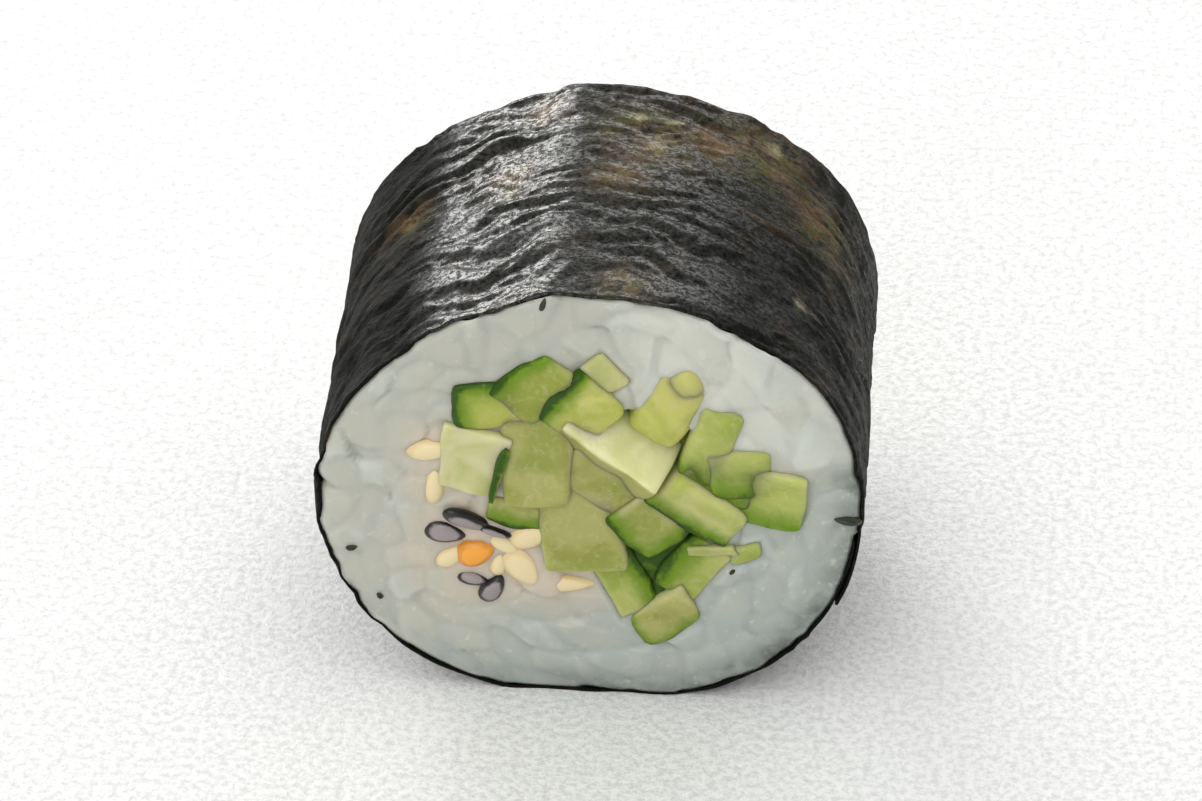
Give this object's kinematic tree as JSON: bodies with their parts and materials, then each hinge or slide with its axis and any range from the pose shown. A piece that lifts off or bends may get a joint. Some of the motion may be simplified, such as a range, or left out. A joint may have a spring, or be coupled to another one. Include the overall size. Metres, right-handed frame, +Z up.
{
  "type": "cucumber maki",
  "caption": "Cut piece of sushi roll: a nori sheet lapped round rice, with chopped cucumber and sesame seeds showing at both cut faces.",
  "frame": {"origin": "middle of the base, on the surface that the roll lies on", "axes": "+Z up, -Y out of the cut face that shows most, +Y out of the other cut face, +X to the right seen from the front"},
  "size_m": [0.0342, 0.0278, 0.03],
  "materials": {
    "nori": "dark crinkled seaweed sheet, damp and slightly glossy",
    "rice": "moist translucent white cooked rice",
    "cucumber": "moist pale green flesh with darker green skin"
  },
  "bodies": {
    "root": {"nori_sheet": "nori", "sushi_rice": "rice", "cucumber_filling": "cucumber"}
  },
  "joints": []
}
